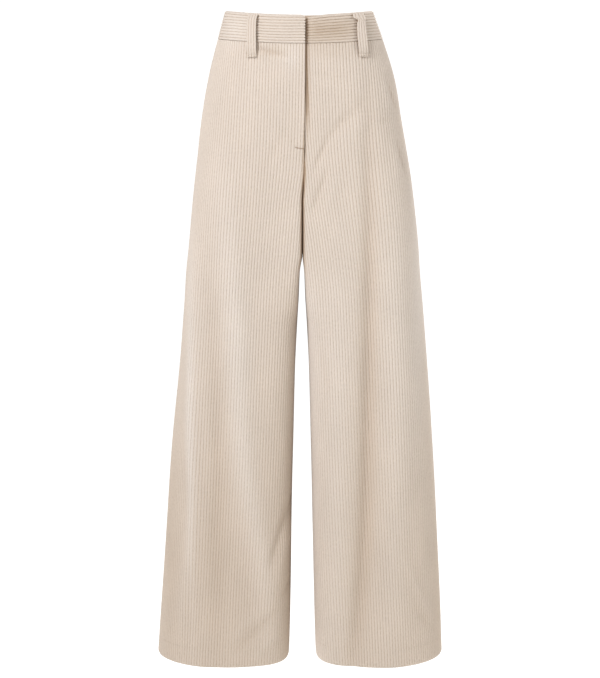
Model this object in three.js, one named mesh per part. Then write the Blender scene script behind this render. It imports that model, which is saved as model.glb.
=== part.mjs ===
// Wide-leg corduroy trousers, hollow and filled out as if worn, with the waist and both hems open.
// Millimetres. +Z is up, -Y is the front and +X is the wearer's left. The origin is the middle of the
// waist opening, level with the highest points of the waistband, which are at the sides.
// Heights are given as "down", the distance below the origin.
import * as THREE from "three";

// Driving sizes
const OUTSEAM = 1100; // waistband top to hem along the side
const BAND_HEIGHT = 47;
const BAND_WALES = 10; // one above another, running round the band
const FORK_DOWN = 330; // where the seams of both legs meet under the body
const FORK_BACKSET = 12; // the fork lies this far behind the side seams
const FLY_DOWN = 226; // lower end of the fly opening
const HEM_DEPTH = 30; // cloth turned up inside each leg
const HEM_STEP = 5; // height over which the wall thickens above the turned-up cloth
const CLOTH = 2.4; // wall, from a wale's crest to the plain inner side
const BAND_CLOTH = 4; // the waistband is the cloth folded double
const WALE_PITCH = 4.8; // jumbo cord, about five wales to the inch
const WALE_DEPTH = 1;
const SEAM_GAP = 0.3; // between pieces that are sewn together
const LEG_GAP = 0.4; // between the two inner thighs, where they touch

// The waist's edge is lower in the middle than at the sides.
const DIP = { front: 7, back: 6 };
const DIP_ENDS = 150; // down, where the dip has faded out of the panels

// The hems droop in the middle of each face, from this height down.
const DROOP = { front: 8, back: 3, starts: 960 };

// The fly: the wearer's right front laps over the left one.
const OVERLAP = { waist: 5.5, end: 3.9 }; // the right front's edge, past the middle
const UNDERLAP = 22; // the left front's edge, past the middle and underneath
const OVER_LIFT = { height: 1, fadesTo: 60 }; // the right front's rise, and how far out it fades
const UNDER_DROP = 2;
const BAND_PROUD = 0.6; // the band stands this far out from the panels
const BAND_UNDER_DROP = 3.8;
const FLY_FOOT = 6; // height over which the two laps are drawn in to the seam below them
const FLY_FADE = 32; // height below that over which lift and drop fade out
const LAP_STEP = { near: 8, far: 16 }; // where the left front rises beside the right one's edge

// Side pockets, in the side seam: the front's edge is drawn back from the seam along the mouth.
const MOUTH = { top: 108, bottom: 284, gape: 7 };
const FACING = { columns: 2, wall: 2, gap: 1 };

// A belt loop: how far it reaches below the band, how far a belt's gap stands off, the gap at its sewn
// ends, and the share of its length over which a slipped top comes back in line.
const BELT_LOOP = { width: 16.8, wall: 2.4, below: 25, standOff: 4.6, slipRun: 1, topDown: 1 };
const LOOP_SEAT = { front: 0.4, back: 0.8 };

// The trouser leg's grain line, which every wale of its panels runs parallel to.
const GRAIN = { topX: 84, hemX: 136 };

// Horizontal sections through the cloth's outer side. Right and left are the wearer's. Outer and inner
// are the distances from the middle plane to the side seam and to the inseam. Front and back are how
// far the cloth stands before and behind them. Fullness is the superellipse exponent: 2 is an oval.
const SECTIONS = [
  { down: 0, rightOut: 129, leftOut: 119, rightIn: 0, leftIn: 0, front: 92, back: 94, fullness: 2.1 },
  { down: 47, rightOut: 142, leftOut: 136, rightIn: 0, leftIn: 0, front: 98, back: 101, fullness: 2.15 },
  { down: 115, rightOut: 159, leftOut: 157, rightIn: 0, leftIn: 0, front: 105, back: 116, fullness: 2.2 },
  { down: 182, rightOut: 171, leftOut: 169, rightIn: 0, leftIn: 0, front: 107, back: 127, fullness: 2.3 },
  { down: 250, rightOut: 178, leftOut: 180, rightIn: 0, leftIn: 0, front: 106, back: 131, fullness: 2.4 },
  { down: 330, rightOut: 186, leftOut: 190, rightIn: 0, leftIn: 0, front: 103, back: 127, fullness: 2.5 },
  { down: 400, rightOut: 192, leftOut: 197, rightIn: 0, leftIn: 0, front: 101, back: 120, fullness: 2.5 },
  { down: 425, rightOut: 195, leftOut: 199, rightIn: 2, leftIn: 2, front: 100, back: 118, fullness: 2.5 },
  { down: 490, rightOut: 200, leftOut: 205, rightIn: 6, leftIn: 6, front: 99, back: 113, fullness: 2.5 },
  { down: 592, rightOut: 209, leftOut: 214, rightIn: 12, leftIn: 12, front: 97, back: 107, fullness: 2.45 },
  { down: 731, rightOut: 223, leftOut: 224, rightIn: 16, leftIn: 16, front: 95, back: 102, fullness: 2.4 },
  { down: 871, rightOut: 233, leftOut: 232, rightIn: 19, leftIn: 18, front: 95, back: 100, fullness: 2.35 },
  { down: 1013, rightOut: 243, leftOut: 239, rightIn: 22, leftIn: 22, front: 95, back: 99, fullness: 2.3 },
  { down: OUTSEAM, rightOut: 250, leftOut: 243, rightIn: 24, leftIn: 25, front: 95, back: 98, fullness: 2.3 },
];

// The long soft folds of each leg. A fold runs straight from topDown, topX to the hem at hemX, and
// swells to its height over the length given. A negative height is a valley.
const FOLDS = [
  { leg: "right", face: "front", topDown: 190, topX: 132, hemX: 58, halfWidth: 24, height: 9, swell: 380 },
  { leg: "right", face: "front", topDown: 330, topX: 170, hemX: 212, halfWidth: 20, height: 7, swell: 380 },
  { leg: "right", face: "front", topDown: 420, topX: 151, hemX: 142, halfWidth: 28, height: -5, swell: 400 },
  { leg: "left", face: "front", topDown: 110, topX: 118, hemX: 98, halfWidth: 15, height: -6, swell: 300 },
  { leg: "left", face: "front", topDown: 260, topX: 62, hemX: 58, halfWidth: 24, height: 5, swell: 420 },
  { leg: "left", face: "front", topDown: 240, topX: 152, hemX: 158, halfWidth: 28, height: 6, swell: 420 },
  { leg: "right", face: "back", topDown: 300, topX: 92, hemX: 84, halfWidth: 22, height: -7, swell: 340 },
  { leg: "right", face: "back", topDown: 360, topX: 140, hemX: 182, halfWidth: 26, height: 7, swell: 420 },
  { leg: "left", face: "back", topDown: 280, topX: 84, hemX: 112, halfWidth: 20, height: -7, swell: 360 },
  { leg: "left", face: "back", topDown: 380, topX: 136, hemX: 190, halfWidth: 28, height: 6, swell: 400 },
];

// Where each curved seam under the body begins to turn in towards the fork
const CURL_START = { front: 236, back: 170 };
const INNER_FULLNESS = { thigh: 4.5, hem: 3.5 }; // each leg turns a tighter corner on its inner side
const LEG_MIDDLE = { top: 40, bottom: 430 }; // down, over which the body's oval becomes two legs

// Heights at which the panels' skins have a row of points. Each panel is two solids, its hip and its
// leg, which meet level with the fork, so that a few hulls can follow the wall of each.
const WAIST_SEAM = BAND_HEIGHT + SEAM_GAP / 2;
const HIP_END = FORK_DOWN - SEAM_GAP / 2;
const PANEL_ROWS = {
  front: {
    hip: [WAIST_SEAM, 108, 170, FLY_DOWN, FLY_DOWN + FLY_FOOT, 284, 314, HIP_END],
    leg: [HIP_END + SEAM_GAP, 430, 640, OUTSEAM],
  },
  back: {
    hip: [WAIST_SEAM, 115, 182, 240, 284, 314, HIP_END],
    leg: [HIP_END + SEAM_GAP, 430, 640, OUTSEAM],
  },
};
const LINE_STEPS = 80; // steps along each quarter of a section's outline
const INNER_COLUMN_STEP = 6; // the plain inner side has one column for this many outer ones
const SLIVER = 0.7; // no column lies closer to an edge than this

const SIDE_SIGN = { right: -1, left: 1 };
const FACE_SIGN = { front: -1, back: 1 };

const columns = ["rightOut", "leftOut", "rightIn", "leftIn", "front", "back", "fullness"];
const profile = new THREE.CubicInterpolant(
  SECTIONS.map((row) => row.down),
  SECTIONS.flatMap((row) => columns.map((name) => row[name])),
  columns.length,
);

const { clamp, lerp, smoothstep } = THREE.MathUtils;

// The sizes of one leg's section at a height.
function sectionSizes(side, face, down) {
  const values = profile.evaluate(clamp(down, 0, OUTSEAM));
  const size = (name) => values[columns.indexOf(name)];
  return {
    outer: size(side + "Out"),
    inner: Math.max(0, size(side + "In")),
    depth: size(face),
    fullness: size("fullness"),
  };
}

// The share of the full depth that the middle seam keeps: 1 down to where it curls and 0 at the fork.
function seamShare(face, down) {
  const start = CURL_START[face];
  const turned = clamp((down - start) / (FORK_DOWN - start), 0, 1);
  return Math.sqrt(1 - turned ** 2);
}

// The outline of one panel at a height, from the side seam to its inner edge, as points with x measured
// outwards from the middle plane. Its outer quarter and its inner quarter are parts of two
// superellipses that meet at the leg's middle. A lap carries the inner one past the middle plane.
function sectionLine(side, face, down, lap) {
  const { outer, inner, depth, fullness } = sectionSizes(side, face, down);
  const belowFork = down >= FORK_DOWN;
  const middle = inner + ((outer - inner) / 2) * smoothstep(down, LEG_MIDDLE.top, LEG_MIDDLE.bottom);
  const legRun = clamp((down - FORK_DOWN) / (OUTSEAM - FORK_DOWN), 0, 1);
  const innerFullness = lerp(INNER_FULLNESS.thigh, INNER_FULLNESS.hem, legRun);
  const backset = FORK_BACKSET * (belowFork ? 1 - legRun : down / FORK_DOWN);
  const share = seamShare(face, down);
  const turn = (1 - share ** innerFullness) ** (1 / innerFullness);
  const points = [];
  const add = (x, y) => {
    const towardsInner = smoothstep(outer - x, 0, outer - inner);
    points.push(new THREE.Vector2(x, FACE_SIGN[face] * depth * y + backset * towardsInner));
  };
  for (let i = 0; i < LINE_STEPS; i++) {
    const angle = (Math.PI / 2) * (i / LINE_STEPS);
    add(middle + (outer - middle) * Math.cos(angle) ** (2 / fullness), Math.sin(angle) ** (2 / fullness));
  }
  for (let i = 0; i <= LINE_STEPS; i++) {
    const run = i / LINE_STEPS;
    if (turn > 0) {
      const angle = Math.asin(turn ** (innerFullness / 2)) * run;
      const reach = Math.sin(angle) ** (2 / innerFullness) / turn;
      add(middle - (middle - inner) * reach, Math.cos(angle) ** (2 / innerFullness));
    } else {
      const x = middle - (middle + lap) * run;
      const pastMiddle = Math.max(0, -x - middle) / (outer - middle);
      add(x, (1 - pastMiddle ** fullness) ** (1 / fullness));
    }
  }
  return points;
}

// One outline with its length measured from the grain line: negative towards the side seam.
class Outline {
  constructor(side, face, down, lap = 0) {
    Object.assign(this, { side, face, down });
    this.points = sectionLine(side, face, down, lap);
    this.lengths = [0];
    for (let i = 1; i < this.points.length; i++) {
      this.lengths.push(this.lengths[i - 1] + this.points[i].distanceTo(this.points[i - 1]));
    }
    const grainX = lerp(GRAIN.topX, GRAIN.hemX, down / OUTSEAM);
    const crossing = this.points.findIndex((p) => p.x < grainX);
    const [before, after] = [this.points[crossing - 1], this.points[crossing]];
    const share = (before.x - grainX) / (before.x - after.x);
    const grainLength = lerp(this.lengths[crossing - 1], this.lengths[crossing], share);
    this.lengths = this.lengths.map((length) => length - grainLength);
    const { outer, inner } = sectionSizes(side, face, down);
    Object.assign(this, { outer, inner });
  }

  get start() {
    return this.lengths[0];
  }

  get end() {
    return this.lengths.at(-1);
  }

  // The point in space at a length along the outline, moved outwards by the leg's folds and by rise.
  at(length, rise) {
    let i = 1;
    while (i < this.lengths.length - 1 && this.lengths[i] < length) i++;
    const share = (length - this.lengths[i - 1]) / (this.lengths[i] - this.lengths[i - 1]);
    const here = this.points[i - 1].clone().lerp(this.points[i], share);
    const along = this.points[i].clone().sub(this.points[i - 1]).normalize();
    const outwards = new THREE.Vector2(-along.y, along.x).multiplyScalar(-FACE_SIGN[this.face]);
    const dip = DIP[this.face] * (1 - smoothstep(this.down, BAND_HEIGHT, DIP_ENDS));
    const dipped = dip * (1 - Math.min(1, (here.x / this.outer) ** 2));
    const fromMiddle = (2 * here.x - this.outer - this.inner) / (this.outer - this.inner);
    const droop = DROOP[this.face] * smoothstep(this.down, DROOP.starts, OUTSEAM);
    const low = this.down + dipped + droop * (1 - Math.min(1, fromMiddle ** 2));
    const moved = rise + foldHeight(this, here.x);
    here.addScaledVector(outwards, moved);
    const x = here.x + LEG_GAP / 2;
    return new THREE.Vector3(SIDE_SIGN[this.side] * x, here.y, -low);
  }

  xAt(length) {
    const i = this.lengths.findIndex((l) => l >= length);
    return this.points[Math.max(0, i < 0 ? this.points.length - 1 : i)].x;
  }
}

function foldHeight(outline, x) {
  return FOLDS.filter((f) => f.leg === outline.side && f.face === outline.face).reduce((sum, fold) => {
    const run = (outline.down - fold.topDown) / (OUTSEAM - fold.topDown);
    if (run <= 0) return sum;
    const away = (x - lerp(fold.topX, fold.hemX, run)) / fold.halfWidth;
    return sum + fold.height * smoothstep(outline.down - fold.topDown, 0, fold.swell) * Math.exp(-away * away);
  }, 0);
}

// The lap's lift or drop at a distance from the middle plane: full at the fly, none below it.
function lapRise(side, down, x, drop) {
  const fade = 1 - smoothstep(down - FLY_DOWN - FLY_FOOT, 0, FLY_FADE);
  if (side === "right") return OVER_LIFT.height * fade * (1 - smoothstep(x, UNDERLAP, OVER_LIFT.fadesTo));
  return -drop * fade * (1 - smoothstep(x, LAP_STEP.near, LAP_STEP.far));
}

function lapWidth(side, face, down) {
  if (face === "back" || down > FLY_DOWN) return 0;
  return side === "right" ? lerp(OVERLAP.waist, OVERLAP.end, down / FLY_DOWN) : UNDERLAP;
}

// Triangles between two rows of points that run the same way, matched by their places along the row.
function stitch(triangles, rowA, rowB) {
  let a = 0;
  let b = 0;
  while (a < rowA.length - 1 || b < rowB.length - 1) {
    const stepA = b === rowB.length - 1 || (a < rowA.length - 1 && rowA[a + 1].place <= rowB[b + 1].place);
    if (stepA) triangles.push(rowA[a].point, rowB[b].point, rowA[++a].point);
    else triangles.push(rowA[a].point, rowB[b].point, rowB[++b].point);
  }
}

// A closed wall of cloth from rows of points on its outer side and on its inner side.
function wall(outerRows, innerRows, reversed) {
  const triangles = [];
  for (let i = 1; i < outerRows.length; i++) stitch(triangles, outerRows[i - 1], outerRows[i]);
  for (let i = 1; i < innerRows.length; i++) stitch(triangles, innerRows[i], innerRows[i - 1]);
  stitch(triangles, innerRows[0], outerRows[0]);
  stitch(triangles, outerRows.at(-1), innerRows.at(-1));
  const edge = (rows, end) => rows.map((row) => ({ place: row.at(end).level, point: row.at(end).point }));
  stitch(triangles, edge(outerRows, 0), edge(innerRows, 0));
  stitch(triangles, edge(innerRows, -1), edge(outerRows, -1));
  if (reversed) {
    for (let i = 0; i < triangles.length; i += 3) {
      [triangles[i + 1], triangles[i + 2]] = [triangles[i + 2], triangles[i + 1]];
    }
  }
  return new THREE.BufferGeometry().setFromPoints(triangles);
}

const turnedOver = (side, face) => SIDE_SIGN[side] * FACE_SIGN[face] < 0;

// The pocket's mouth: how far the front's edge is drawn back from the side seam.
function mouthGape(down) {
  const run = (down - MOUTH.top) / (MOUTH.bottom - MOUTH.top);
  return run > 0 && run < 1 ? MOUTH.gape * Math.sqrt(Math.sin(Math.PI * run)) : 0;
}

// Columns along an outline: both ends, and the crest and trough of each wale between them.
function columnsBetween(first, last, step) {
  const spacing = (WALE_PITCH / 2) * step;
  const inside = [];
  for (let k = Math.ceil((first + SLIVER) / spacing); k * spacing < last - SLIVER; k++) {
    inside.push({ length: k * spacing, trough: k % 2 !== 0 });
  }
  return [{ length: first, trough: true }, ...inside, { length: last, trough: true }];
}

function panelRow(side, face, down, step, depthAt) {
  const outline = new Outline(side, face, down, lapWidth(side, face, down));
  const first = outline.start + SEAM_GAP / 2 + (face === "front" ? mouthGape(down) : 0);
  return columnsBetween(first, outline.end - SEAM_GAP / 2, step).map(({ length, trough }) => {
    const lap = face === "front" ? lapRise(side, down, outline.xAt(length), UNDER_DROP) : 0;
    return { place: length, level: down, point: outline.at(length, lap - depthAt(trough, down)) };
  });
}

// The hip or the leg of a front or a back. A leg ends in its turned-up hem.
function panel(side, face, part) {
  const waleDepth = (trough) => (trough ? WALE_DEPTH : 0);
  const clothDepth = (_, down) => CLOTH * (down >= OUTSEAM - HEM_DEPTH ? 2 : 1);
  const heights = PANEL_ROWS[face][part];
  const hemTop = OUTSEAM - HEM_DEPTH;
  const hemHeights = [...heights.slice(0, -1), hemTop - HEM_STEP, hemTop, OUTSEAM];
  const innerHeights = part === "leg" ? hemHeights : heights;
  const outerRows = heights.map((down) => panelRow(side, face, down, 1, waleDepth));
  const innerRows = innerHeights.map((down) => panelRow(side, face, down, INNER_COLUMN_STEP, clothDepth));
  return wall(outerRows, innerRows, turnedOver(side, face));
}

// Half of the waistband, from the fly round the side to the middle of the back. Its wales run round it.
const BAND_COLUMNS = 10; // from the side to the middle, on each face
function bandRow(side, down, rise) {
  const lapLength = lapWidth(side, "front", down);
  const front = new Outline(side, "front", down, lapLength);
  const back = new Outline(side, "back", down);
  const middle = front.end - lapLength;
  const frontLengths = [front.end, middle - LAP_STEP.near, middle - LAP_STEP.far];
  const backLengths = [];
  for (let i = 1; i <= BAND_COLUMNS; i++) {
    frontLengths.push(lerp(middle - LAP_STEP.far, front.start, i / BAND_COLUMNS));
    backLengths.push(lerp(back.start, back.end - SEAM_GAP / 2, i / BAND_COLUMNS));
  }
  const frontPoints = frontLengths.map((length) => {
    const lap = lapRise(side, down, front.xAt(length), BAND_UNDER_DROP);
    return front.at(length, lap + rise);
  });
  const points = [...frontPoints, ...backLengths.map((length) => back.at(length, rise))];
  return points.map((point, place) => ({ place, level: down, point }));
}

function waistband(side) {
  const troughs = 2 * BAND_WALES;
  const lowest = BAND_HEIGHT - SEAM_GAP / 2;
  const outerRows = [];
  for (let k = 0; k <= troughs; k++) {
    const down = Math.min((k * BAND_HEIGHT) / troughs, lowest);
    outerRows.push(bandRow(side, down, BAND_PROUD - (k % 2 ? 0 : WALE_DEPTH)));
  }
  const inside = BAND_PROUD - BAND_CLOTH;
  const innerRows = [0, BAND_HEIGHT / 2, lowest].map((down) => bandRow(side, down, inside));
  return wall(outerRows, innerRows, side === "right");
}

// The corduroy facing that backs a pocket's mouth. It follows the panel's plain side just inside it.
function pocketFacing(side) {
  const heights = PANEL_ROWS.front.hip.filter((down) => down >= MOUTH.top && down <= MOUTH.bottom);
  const facingRow = (down, depth) => {
    const outline = new Outline(side, "front", down);
    const first = outline.start + SEAM_GAP;
    const spacing = (WALE_PITCH / 2) * INNER_COLUMN_STEP;
    const last = (Math.ceil(first / spacing) + FACING.columns) * spacing;
    return columnsBetween(first, last, INNER_COLUMN_STEP).map(({ length }) => ({
      place: length,
      level: down,
      point: outline.at(length, -depth),
    }));
  };
  const depth = CLOTH + FACING.gap;
  const outerRows = heights.map((down) => facingRow(down, depth));
  const innerRows = heights.map((down) => facingRow(down, depth + FACING.wall));
  return wall(outerRows, innerRows, turnedOver(side, "front"));
}

// Belt loops: where each stands, as a share of the way from the middle to the side, and how far its
// top leans towards the side. The front ones lean so that their sides run straight down.
const LOOPS = [
  { name: "belt_loop_front_right", side: "right", face: "front", share: 0.556, lean: 6.6 },
  { name: "belt_loop_front_left", side: "left", face: "front", share: 0.72, lean: 8.9 },
  { name: "belt_loop_back_right", side: "right", face: "back", share: 0.62, lean: 0 },
  { name: "belt_loop_back_left", side: "left", face: "back", share: 0.62, lean: 0 },
  { name: "belt_loop_back_middle", side: "left", face: "back", share: 0, lean: 0 },
];

// A loop's shape: where it is along its length, and how far its inner side stands off the cloth.
const LOOP_SHAPE = [
  { share: 0, off: 0 }, { share: 0.07, off: 0.25 }, { share: 0.2, off: 0.9 }, { share: 0.42, off: 1 },
  { share: 0.66, off: 1 }, { share: 0.84, off: 0.75 }, { share: 0.93, off: 0.15 }, { share: 1, off: 0 },
];

function beltLoop({ side, face, share, lean }) {
  const length = BAND_HEIGHT + BELT_LOOP.below;
  const rowsAt = (thickness, isOuter) =>
    LOOP_SHAPE.map(({ share: run, off }) => {
      const down = BELT_LOOP.topDown + run * length;
      const outline = new Outline(side, face, down);
      const crossing = outline.points.findIndex((p) => p.x <= share * outline.outer);
      const foot = crossing < 0 ? outline.end : outline.lengths[crossing];
      const seat = (down < BAND_HEIGHT ? BAND_PROUD : 0) + LOOP_SEAT[face];
      const rise = seat + BELT_LOOP.standOff * off + thickness;
      const middle = outline.at(foot, rise);
      const beside = outline.at(foot - 1, rise);
      const across = beside.sub(middle).setZ(0).normalize();
      const outwards = new THREE.Vector3(across.y, -across.x, 0);
      if (outwards.dot(new THREE.Vector3(middle.x, middle.y, 0)) < 0) outwards.negate();
      const slip = lean * (1 - smoothstep(run, 0, BELT_LOOP.slipRun));
      const columnCount = Math.round((2 * BELT_LOOP.width) / WALE_PITCH);
      const row = [];
      for (let k = 0; k <= columnCount; k++) {
        const place = k / columnCount;
        const trough = isOuter && k % 2 === 0 ? WALE_DEPTH / 2 : 0;
        const point = middle
          .clone()
          .addScaledVector(across, BELT_LOOP.width * (place - 0.5) + slip)
          .addScaledVector(outwards, -trough);
        row.push({ place: -place, level: run, point });
      }
      return row.reverse();
    });
  return wall(rowsAt(BELT_LOOP.wall, true), rowsAt(0, false), turnedOver(side, face));
}

const corduroy = new THREE.MeshStandardMaterial({ name: "corduroy", color: 0xdfd0c2, roughness: 0.95 });

const trousers = new THREE.Group();
function sew(name, geometry) {
  const piece = new THREE.Mesh(geometry, corduroy.clone());
  piece.name = name;
  trousers.add(piece);
}

for (const side of ["right", "left"]) {
  for (const face of ["front", "back"]) {
    for (const part of ["hip", "leg"]) sew([face, side, part].join("_"), panel(side, face, part));
  }
  sew("waistband_" + side, waistband(side));
  sew("pocket_facing_" + side, pocketFacing(side));
}
for (const loop of LOOPS) sew(loop.name, beltLoop(loop));

export default trousers;
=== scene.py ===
"""Wide-leg corduroy trousers, filled out as if worn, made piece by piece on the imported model's frame.

Sizes in the tables are millimetres and "down" is the distance below the waistband's top at the sides.
Blender works in metres, with +Z up, the front towards -Y and the wearer's left towards +X.
"""
import math

import bmesh
import bpy
import numpy as np
from mathutils import Matrix, Vector


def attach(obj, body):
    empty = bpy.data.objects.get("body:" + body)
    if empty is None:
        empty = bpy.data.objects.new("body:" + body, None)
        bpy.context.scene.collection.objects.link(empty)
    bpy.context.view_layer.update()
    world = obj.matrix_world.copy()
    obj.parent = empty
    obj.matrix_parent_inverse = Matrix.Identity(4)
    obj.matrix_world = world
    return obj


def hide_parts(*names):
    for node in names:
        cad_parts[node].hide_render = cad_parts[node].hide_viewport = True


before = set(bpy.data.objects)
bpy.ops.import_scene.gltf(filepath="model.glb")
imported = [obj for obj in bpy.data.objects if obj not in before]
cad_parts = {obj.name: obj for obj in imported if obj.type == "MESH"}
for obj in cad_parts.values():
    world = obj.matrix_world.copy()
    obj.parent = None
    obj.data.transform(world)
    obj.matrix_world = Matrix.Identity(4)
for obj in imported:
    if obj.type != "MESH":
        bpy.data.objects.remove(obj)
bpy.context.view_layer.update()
MM = 0.001


# Corduroy. Cotton pile cloth: rows of cut loops, brushed into rounded wales, stand on a plain woven
# ground. The tips of the pile scatter light softly. The darker colour between them is partly the
# ground's own colour and partly painted shade in the grooves.
def linear(colour):
    """An sRGB hex colour as linear RGBA."""
    channels = [int(colour[i : i + 2], 16) / 255 for i in (1, 3, 5)]
    return [c / 12.92 if c <= 0.04045 else ((c + 0.055) / 1.055) ** 2.4 for c in channels] + [1.0]


def add_node(material, kind, settings=None, links=None):
    """Adds a node, gives it its settings and links its inputs to other nodes' outputs."""
    node = material.node_tree.nodes.new(kind)
    for name, value in (settings or {}).items():
        if isinstance(name, str) and hasattr(node, name):
            setattr(node, name, value)
        else:
            node.inputs[name].default_value = value
    for name, output in (links or {}).items():
        material.node_tree.links.new(output, node.inputs[name])
    return node


def cotton(name):
    """An empty material, its shader and the piece's own cloth coordinates, in metres."""
    material = bpy.data.materials.new(name)
    material.use_nodes = True
    shader = material.node_tree.nodes["Principled BSDF"]
    cloth = add_node(material, "ShaderNodeUVMap", {"uv_map": "cloth"})
    return material, shader, cloth.outputs["UV"]


def corduroy_pile(name, crest, ground_and_groove_shade):
    """Pile of the given crest colour over a darker ground colour, which is partly painted groove shade,
    mixed by the wale attribute.
    """
    material, shader, cloth = cotton(name)
    links = material.node_tree.links
    wale = add_node(material, "ShaderNodeAttribute", {"attribute_name": "wale"})
    # Tufts: the pile parts and leans in patches about 1.5 mm across and 4 mm along a wale.
    tuft_size = add_node(
        material, "ShaderNodeMapping", {"Scale": (1 / 0.0015, 1 / 0.004, 1)}, {"Vector": cloth}
    )
    tufts = add_node(
        material, "ShaderNodeTexNoise", {"Scale": 1.0, "Detail": 3.0}, {"Vector": tuft_size.outputs[0]}
    )
    # Brushing: soft lighter and darker areas about 50 mm across, drawn out down the leg.
    brush_size = add_node(
        material, "ShaderNodeMapping", {"Scale": (1 / 0.05, 1 / 0.11, 1)}, {"Vector": cloth}
    )
    brushing = add_node(
        material, "ShaderNodeTexNoise", {"Scale": 1.0, "Detail": 2.0}, {"Vector": brush_size.outputs[0]}
    )
    # The grooves' edges are ragged, because the tufts lean into them.
    lean = add_node(
        material,
        "ShaderNodeMapRange",
        {"From Min": 0.3, "From Max": 0.7, "To Min": -0.14, "To Max": 0.14},
        {"Value": tufts.outputs["Fac"]},
    )
    ragged = add_node(
        material,
        "ShaderNodeMath",
        {"operation": "ADD"},
        {0: wale.outputs["Fac"], 1: lean.outputs[0]},
    )
    # From the groove's colour, which is partly painted shade, up to the crest's colour.
    ramp = add_node(material, "ShaderNodeValToRGB", None, {"Fac": ragged.outputs[0]})
    ramp.color_ramp.elements[0].color = linear(ground_and_groove_shade)
    ramp.color_ramp.elements[1].position = 0.75
    ramp.color_ramp.elements[1].color = linear(crest)
    tuft_value = add_node(
        material,
        "ShaderNodeMapRange",
        {"From Min": 0.3, "From Max": 0.7, "To Min": 0.93, "To Max": 1.04},
        {"Value": tufts.outputs["Fac"]},
    )
    brush_value = add_node(
        material,
        "ShaderNodeMapRange",
        {"From Min": 0.3, "From Max": 0.7, "To Min": 0.965, "To Max": 1.02},
        {"Value": brushing.outputs["Fac"]},
    )
    # Painted light and shade, read from a point attribute: where it is high the pile is painted paler
    # and greyer, where low darker and more saturated.
    painted_light_and_shade = add_node(material, "ShaderNodeAttribute", {"attribute_name": "painted_light_and_shade"})
    painted_brightness = add_node(
        material,
        "ShaderNodeMapRange",
        {"From Min": -2.0, "From Max": 2.0, "To Min": 0.74, "To Max": 1.26},
        {"Value": painted_light_and_shade.outputs["Fac"]},
    )
    uneven = add_node(
        material,
        "ShaderNodeMath",
        {"operation": "MULTIPLY"},
        {0: tuft_value.outputs[0], 1: brush_value.outputs[0]},
    )
    value = add_node(
        material,
        "ShaderNodeMath",
        {"operation": "MULTIPLY"},
        {0: uneven.outputs[0], 1: painted_brightness.outputs[0]},
    )
    painted_saturation = add_node(
        material,
        "ShaderNodeMapRange",
        {"From Min": -2.0, "From Max": 2.0, "To Min": 1.65, "To Max": 0.45},
        {"Value": painted_light_and_shade.outputs["Fac"]},
    )
    colour = add_node(
        material,
        "ShaderNodeHueSaturation",
        None,
        {
            "Color": ramp.outputs["Color"],
            "Value": value.outputs[0],
            "Saturation": painted_saturation.outputs[0],
        },
    )
    # Painted brown shade: where the painted shade is deepest, at the middle seam, between the thighs,
    # beside the fly and on sides turned from the light, the colour is mixed towards brown.
    painted_brown_amount = add_node(
        material,
        "ShaderNodeMapRange",
        {"From Min": -1.2, "From Max": -3.0, "To Min": 0.0, "To Max": 0.9},
        {"Value": painted_light_and_shade.outputs["Fac"]},
    )
    painted_brown_shade = add_node(
        material,
        "ShaderNodeMix",
        {"data_type": "RGBA", "B": linear("#8a6a50")},
        {"Factor": painted_brown_amount.outputs[0]},
    )
    links.new(colour.outputs["Color"], painted_brown_shade.inputs["A"])
    # Fibres: single cotton hairs are too fine to show, so they are drawn 0.3 mm thick.
    fibre_size = add_node(
        material, "ShaderNodeMapping", {"Scale": (1 / 0.0003, 1 / 0.0012, 1)}, {"Vector": cloth}
    )
    fibres = add_node(
        material, "ShaderNodeTexNoise", {"Scale": 1.0, "Detail": 2.0}, {"Vector": fibre_size.outputs[0]}
    )
    tuft_bump = add_node(
        material,
        "ShaderNodeBump",
        {"Strength": 0.5, "Distance": 0.0004},
        {"Height": tufts.outputs["Fac"]},
    )
    bump = add_node(
        material,
        "ShaderNodeBump",
        {"Strength": 0.4, "Distance": 0.0002},
        {"Height": fibres.outputs["Fac"], "Normal": tuft_bump.outputs["Normal"]},
    )
    links.new(painted_brown_shade.outputs["Result"], shader.inputs["Base Color"])
    links.new(bump.outputs["Normal"], shader.inputs["Normal"])
    shader.inputs["Roughness"].default_value = 0.95
    shader.inputs["Specular IOR Level"].default_value = 0.15
    shader.inputs["Sheen Weight"].default_value = 0.25
    shader.inputs["Sheen Roughness"].default_value = 0.45
    shader.inputs["Sheen Tint"].default_value = linear("#e6d3c2")
    return material


def woven_back(name, shaded, lit):
    """The plain woven wrong side of the cloth, matt, with its yarns 0.6 mm apart."""
    material, shader, cloth = cotton(name)
    yarn_size = add_node(
        material, "ShaderNodeMapping", {"Scale": (1 / 0.0006, 1 / 0.0006, 1)}, {"Vector": cloth}
    )
    yarns = add_node(
        material, "ShaderNodeTexNoise", {"Scale": 1.0, "Detail": 2.0}, {"Vector": yarn_size.outputs[0]}
    )
    tone = add_node(material, "ShaderNodeValToRGB", None, {"Fac": yarns.outputs["Fac"]})
    tone.color_ramp.elements[0].position = 0.3
    tone.color_ramp.elements[0].color = linear(shaded)
    tone.color_ramp.elements[1].position = 0.7
    tone.color_ramp.elements[1].color = linear(lit)
    bump = add_node(
        material,
        "ShaderNodeBump",
        {"Strength": 0.4, "Distance": 0.0003},
        {"Height": yarns.outputs["Fac"]},
    )
    material.node_tree.links.new(tone.outputs["Color"], shader.inputs["Base Color"])
    material.node_tree.links.new(bump.outputs["Normal"], shader.inputs["Normal"])
    shader.inputs["Roughness"].default_value = 0.9
    return material


# The pile's crest colour, and a darker groove colour that is partly painted shade.
pile = corduroy_pile("cut_pile_corduroy", "#d2c6ba", "#baa794")
ground_cloth = woven_back("woven_cotton_back", "#cdbba6", "#dccbb8")

PITCH = 4.8  # one wale and one groove
WALE_HEIGHT = 1.0  # from the ground to the pile's tips
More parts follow.
